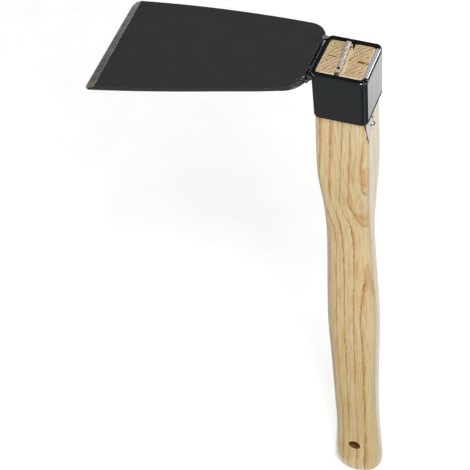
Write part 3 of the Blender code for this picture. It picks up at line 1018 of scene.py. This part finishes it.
def rounded_half_width(distance):
    """Half the blade's width with its corners rounded."""
    for centre, radius, beyond in (
        (BLADE_BACK_ROUND, BLADE_BACK_ROUND, distance < BLADE_BACK_ROUND),
        (BLADE_LENGTH - BLADE_TIP_ROUND, BLADE_TIP_ROUND, distance > BLADE_LENGTH - BLADE_TIP_ROUND),
    ):
        if beyond:
            slope = (half_width(centre + MM) - half_width(centre - MM)) / (2 * MM)
            middle_line = half_width(centre) - radius * math.sqrt(1 + slope * slope)
            reach = math.sqrt(max(radius ** 2 - (distance - centre) ** 2, 0))
            return min(middle_line + reach, half_width(distance))
    return half_width(distance)


def bevel_line(across):
    """Distance at which the ground bevel starts, from -1 at the near side to 1 at the far side."""
    return BLADE_LENGTH - BEVEL_WIDTH + BEVEL_SLANT * across


def blade_columns():
    """Distances of the blade's columns of points, closer together round its corners."""
    at_back, at_side, at_tip = BLADE_COLUMNS
    length = bevel_line(0) - BLADE_BACK_ROUND
    back = [BLADE_BACK_ROUND * (1 - math.cos(math.pi / 2 * step / at_back)) for step in range(at_back + 1)]
    side = [BLADE_BACK_ROUND + length * step / at_side for step in range(1, at_side + 1)]
    tip_start = BLADE_LENGTH - BLADE_TIP_ROUND
    tip = [tip_start + BLADE_TIP_ROUND * math.sin(math.pi / 2 * step / at_tip) for step in range(at_tip + 1)]
    return back + side + tip


def stretch_blade(co):
    """The real blade is uneven: its far side bows out more, its near back corner is fuller."""
    share = -co.x / BLADE_LENGTH
    far = co.y / (BLADE_EDGE_WIDTH / 2)
    bow = 4 * share * (1 - share)
    bulge = NEAR_BOW * math.exp(-((share - 0.2) / 0.11) ** 2) + NEAR_CORNER * math.exp(-share / 0.074)
    co.y += (FAR_BOW * bow * max(far, 0) - bulge * max(-far, 0)) * MM
    co.x += share * (0.45 + 0.2 * far) * MM
    return co


def blade_place(co):
    """Turns a point of the blade's own plane to its place on the eye."""
    return BLADE_START + Matrix.Rotation(-BLADE_TILT, 3, "Y") @ co


def model_blade(lacquer, steel, sheared):
    columns = blade_columns()
    count = len(columns)
    blade = start(
        "lacquered_blade", bpy.ops.mesh.primitive_grid_add, x_subdivisions=count - 1,
        y_subdivisions=BLADE_ROWS, size=1, location=(0, 0, 0))

    def onto_outline(co):
        distance, across = columns[round((co.x + 0.5) * (count - 1))], 2 * co.y
        half = rounded_half_width(distance)
        if distance < BLADE_LENGTH - BLADE_TIP_ROUND - 0.1 * MM:
            distance += BEVEL_SLANT * across * (distance / bevel_line(0)) ** 8
        return Vector((-distance, across * half, 0))

    move_points(blade, onto_outline)
    open_mesh(blade)
    bpy.ops.mesh.select_all(action="SELECT")
    bpy.ops.mesh.extrude_region_move(TRANSFORM_OT_translate={"value": (0, 0, -BLADE_THICKNESS)})
    close_mesh()

    def ground_depth(co):
        """How far below the blade's top the ground bevel lies at a point."""
        line = bevel_line(max(-1, min(1, co.y / (BLADE_EDGE_WIDTH / 2))))
        return (BLADE_THICKNESS - BLADE_EDGE_THICKNESS) * max(0.0, -co.x - line) / (BLADE_LENGTH - line)

    def grind(co):
        if co.z > -BLADE_THICKNESS / 2:
            co.z = -ground_depth(co)
        return co

    move_points(blade, grind)
    open_mesh(blade)
    face_outward()
    for upper, rounding in ((True, BLADE_TOP_ROUND), (False, BLADE_LOW_ROUND)):
        def border(edge):
            """Whether an edge runs round the blade's top or underside, away from the bevel."""
            if len(edge.link_faces) != 2 or min(-v.co.x for v in edge.verts) > bevel_line(-1) - 0.1 * MM:
                return False
            if (middle(edge).z > -BLADE_THICKNESS / 2) != upper:
                return False
            tilts = sorted(abs(face.normal.z) for face in edge.link_faces)
            return tilts[0] < 0.3 and tilts[1] > 0.8
        round_edges(blade, border, rounding, 4, clamp_overlap=True)
    close_mesh()
    dress(blade, "blade_lacquer", "blade", lacquer, steel, sheared)
    for face in blade.data.polygons:
        on_bevel = ground_depth(face.center) > 0.02 * MM and face.normal.z > 0.5
        at_tip = -face.center.x > BLADE_LENGTH - 2.5 * MM
        on_edge = face.center.z > -0.95 * MM and 0.15 < face.normal.z < 0.97
        face.material_index = 1 if on_bevel or at_tip else 2 if on_edge else 0
    move_points(blade, stretch_blade)
    move_points(blade, blade_place)
    smooth(blade, 14)


# Welds

def bead(name, blobs, voxel, degrees=60):
    """Melts overlapping blobs into one bead: place, radii and turn of each, in millimetres."""
    parts = []
    for place, radii, turn in blobs:
        parts.append(start(
            name, bpy.ops.mesh.primitive_ico_sphere_add, subdivisions=3, radius=1,
            location=mm(*place) + Vector((0, 0, RIM)), scale=mm(*radii),
            rotation=(0, 0, math.radians(turn))))
    take(*parts)
    bpy.ops.object.join()
    piece = bpy.context.object
    piece.name = piece.data.name = name
    modify(piece, "REMESH", mode="VOXEL", voxel_size=voxel * MM)
    modify(piece, "SMOOTH", factor=0.5, iterations=8)
    smooth(piece, degrees)
    return piece


def run_of_blobs(random_draw, near, far, pitch, size, height_at, back):
    """A row of overlapping welding ripples between two places along Y."""
    blobs = []
    y = near
    while y < far:
        grow = 1 + random_draw.uniform(-0.12, 0.12)
        x = back + random_draw.uniform(-0.25, 0.25)
        radii = (size[0] * grow, size[1], size[2] * grow)
        blobs.append(((x, y, height_at(x)), radii, random_draw.uniform(-18, 18)))
        y += pitch * (1 + random_draw.uniform(-0.2, 0.2))
    return blobs


def blade_level(x, below=0.0):
    """Height of the blade's top over the rim at a place along X, in millimetres."""
    return -1.3 + (x + 18.816) * math.tan(BLADE_TILT) - below


def model_upper_weld(lacquer):
    draw = random.Random(7)
    # A low fillet along the eye's wall, and lumps where the run starts and ends
    blobs = run_of_blobs(draw, -15.5, 14.0, 1.3, (1.9, 3.0, 0.95), lambda x: -1.95, -19.3)
    weld = bead("upper_weld_bead", blobs + list(UPPER_LUMPS), 0.25, 70)
    dress(weld, "weld_lacquer", "upper_weld", lacquer)


def model_weld_ends(tinted):
    """The lacquer is burnt off the lumps at both ends of the run, its ridge and the spatter beside it."""
    spatter = [((x, y, blade_level(x)), (0.22, length, 0.24), -25) for x, y, length in BLADE_SPATTER]
    dress(bead("weld_end_lumps", list(BARE_LUMPS) + spatter, 0.11), None, None, tinted)


def model_under_weld(lacquer):
    draw = random.Random(11)
    blobs = run_of_blobs(
        draw, -15.5, 15.6, 1.8, (2.6, 1.6, 2.0), lambda x: blade_level(x, 3.0) - 0.6, -19.6)
    dress(bead("under_weld_bead", blobs, 0.36), "weld_lacquer", "under_weld", lacquer)


def model_spatter(lacquer, clear):
    """Nibs and a knob at the eye's near right corner, and drops under its right side; the pale drop inside
    the lacquer ring is a painted highlight.
    """
    dress(bead("corner_nibs", (
        ((15.2, -18.2, -2.2), (0.6, 0.4, 0.5), 20), ((16.2, -17.5, -2.6), (0.4, 0.4, 0.7), 50),
        ((14.2, -18.5, -1.7), (0.35, 0.3, 0.3), 0), ((15.7, -18.0, -3.4), (0.3, 0.3, 0.4), 0),
        ((16.9, -16.6, -2.2), (0.35, 0.35, 0.35), 0),
    ), 0.09), "weld_lacquer", None, lacquer)
    dress(bead("corner_knob", (
        ((16.5, -14.2, -0.55), (2.3, 2.0, 1.1), -60), ((16.9, -15.6, -1.2), (1.6, 1.6, 1.3), -50),
    ), 0.15), "collar_lacquer", None, lacquer)
    ring = start(
        "lacquer_ring", bpy.ops.mesh.primitive_torus_add, major_radius=1.0 * MM, minor_radius=0.38 * MM,
        major_segments=32, minor_segments=10, location=(0, 0, 0))
    turn = (CAMERA_PLACE - RING_PLACE).to_track_quat("Z", "Y").to_matrix()
    move_points(ring, lambda co: RING_PLACE + turn @ co)
    dress(ring, "collar_lacquer", None, lacquer)
    smooth(ring, 60)
    # A near white matt drop inside the ring: a painted highlight
    dress(bead("highlight_drop", (
        (tuple(RING_PLACE / MM - Vector((0.55, 0, 398))), (0.75, 0.7, 0.75), 0),
        (tuple(RING_PLACE / MM - Vector((0.9, 0, 398))), (0.6, 0.8, 0.8), 0),
    ), 0.1), "handle_wood", None, clear)
    dress(bead("lacquer_drop", (
        ((16.6, -6.3, -45.0), (0.55, 0.5, 0.55), 0), ((16.8, -3.6, -40.4), (0.45, 0.45, 0.9), 0),
    ), 0.1), "collar_lacquer", None, lacquer)


# Wedge

def model_wedge(steel, notch_shade):
    length = WEDGE_FAR - WEDGE_NEAR
    wedge = block(
        "hammered_wedge", (WEDGE_X, (WEDGE_FAR + WEDGE_NEAR) / 2, RIM - WEDGE_FOOT / 2),
        (WEDGE_THICKNESS, length, WEDGE_FOOT))
    open_mesh(wedge)
    for row in range(1, WEDGE_ROWS):
        add_loop((0, WEDGE_NEAR + length * row / WEDGE_ROWS, RIM), (0, 1, 0))
    for depth in (0.5, 1.2, 2.4, 5.0):
        add_loop((0, 0, RIM - depth * MM), (0, 0, 1))
    add_loop((WEDGE_X, 0, RIM), (1, 0, 0))
    close_mesh()

    def beat(co):
        """Tapers the wedge, slopes its head, and beats it uneven."""
        under = (RIM - co.z) / WEDGE_FOOT
        thin = 1 - (1 - WEDGE_FOOT_THICKNESS / WEDGE_THICKNESS) * under
        share = (co.y - WEDGE_NEAR) / length
        rise = (WEDGE_PROUD + WEDGE_RISE * min(max((share - 0.2) / 0.8, 0), 1)) * MM
        if share > 0.97:
            rise -= 0.6 * MM
        place = askew(Vector((WEDGE_X + (co.x - WEDGE_X) * thin, co.y, co.z)))
        if under < 0.2:
            place.z += rise * (1 - under / 0.2) - 0.12 * (co.x - WEDGE_X)
            place += noise.noise_vector(Vector(co) * 900) * 0.14 * MM
        return place

    noise.seed_set(WEDGE_SEED)
    move_points(wedge, beat)
    cut(wedge, start(
        "notch", bpy.ops.mesh.primitive_cylinder_add, vertices=4, radius=1, depth=1,
        location=(WEDGE_X - 0.5 * MM - WEDGE_SKEW * 9 * MM, WEDGE_NOTCH, RIM), scale=WEDGE_NOTCH_SIZE))
    modify(wedge, "BEVEL", width=0.3 * MM, segments=2, limit_method="ANGLE", angle_limit=math.radians(50))
    smooth(wedge, 40)
    dress(wedge, "wedge_steel", "steel_wedge", steel, notch_shade)
    # Faces in the notch take the matt black: painted shade
    for face in wedge.data.polygons:
        centre = face.center
        across, along = centre.x - WEDGE_X + 0.2 * MM, centre.y - WEDGE_NOTCH
        in_notch = abs(across) < 1.5 * MM and abs(along) < 1.35 * MM
        face.material_index = int(in_notch and (abs(face.normal.z) < 0.75 or centre.z < RIM - 1 * MM))


# Floor, lamps and camera

def lay_floor():
    floor = start("floor", bpy.ops.mesh.primitive_plane_add, size=8, location=(0, 0, 0))
    floor.data.materials.append(paper_floor())


def hang_lamp(name, direction, distance, size, watts):
    """A soft white lamp, turned to the middle of the hoe."""
    lamp = bpy.data.lights.new(name, "AREA")
    lamp.shape = "RECTANGLE"
    lamp.size, lamp.size_y = size
    lamp.energy = watts
    holder = bpy.data.objects.new(name, lamp)
    bpy.context.scene.collection.objects.link(holder)
    away = Vector(direction).normalized()
    holder.location = LAMP_TARGET + away * distance
    holder.rotation_euler = away.to_track_quat("Z", "Y").to_euler()


def light_the_room():
    """Pale walls up to eye height, a darker ceiling, and the lamps."""
    world = bpy.data.worlds.new("studio")
    world.use_nodes = True
    look = source(world.node_tree, "TexCoord", "Generated")
    ceiling = ranged(axis(look, "Y"), -0.5, 0.4, 0.22, 0.07)
    walls = ranged(axis(look, "Z"), 0.08, 0.40, 0.0, 1.0, "SMOOTHSTEP")
    room = add_node("Mix", {0: walls, 2: 0.45, 3: ceiling}).outputs[0]
    set_inputs(world.node_tree.nodes["Background"], {"Color": room})
    bpy.context.scene.world = world
    for name, lamp in LAMPS.items():
        hang_lamp(name, *lamp)


def set_camera():
    camera = bpy.data.cameras.new("photo camera")
    camera.lens = CAMERA_LENS
    camera.sensor_width = 36.0
    holder = bpy.data.objects.new("photo camera", camera)
    bpy.context.scene.collection.objects.link(holder)
    backward = CAMERA_RIGHT.cross(CAMERA_UP)
    turn = Matrix((CAMERA_RIGHT, CAMERA_UP, backward)).transposed()
    holder.matrix_world = Matrix.Translation(CAMERA_PLACE) @ turn.to_4x4()
    bpy.context.scene.camera = holder


# The whole hoe

set_camera()
light_the_room()
lay_floor()
collar_black = black_lacquer("collar black lacquer", "060F12", (420, 420, 12), 0.2, 0.12, 1.0)
rim_black = black_lacquer("rim black lacquer", "050708", (60, 60, 60), 0.02, 0.12, 1.0)
matt_black = black_lacquer("matt black edge", "0A0C0D", (400, 400, 400), 0.02, 0.75, 0.0)
blade_black = black_lacquer("blade black lacquer", "2B2E2C", (40, 160, 160), 0.01, 0.30, 0.0, 0.05)
sheared_black = black_lacquer("lacquered sheared edge", "1E2020", (900, 900, 900), 0.4, 0.16, 0.9)
weld_black = black_lacquer("lacquered weld metal", "08090A", (120, 120, 120), 0.02, 0.12, 0.6)
# Among the handle's woods the dark cut ash and the bored ash paint shade in hollows, the scraped grey paints
# a reflection
model_handle(
    varnished_ash(), bare_ash("cut ash painted dark as shade", "6E4318", "935F28", (700, 700, 700)),
    bare_ash("crushed ash", "CDB692", "DCCBA8", (500, 90, 500)), sawn_ash(),
    bare_ash("hollow ash painted dark as shade", "4E2B08", "85531A", (300, 300, 300)),
    bare_ash("neck flat painted grey as reflection", "B1AFAD", "C4C2C0", (300, 300, 60)))
model_eye(collar_black, matt_black, rim_black)
model_blade(blade_black, ground_steel(), sheared_black)
model_upper_weld(weld_black)
model_weld_ends(tinted_steel())
model_under_weld(weld_black)
model_spatter(weld_black, bare_ash("drop painted pale as highlight", "D6D2C8", "EFECE4", (300, 300, 300)))
# The matt black also paints the shade in the wedge's notch
model_wedge(hammered_steel(), matt_black)
bpy.context.scene.view_settings.view_transform = "Standard"
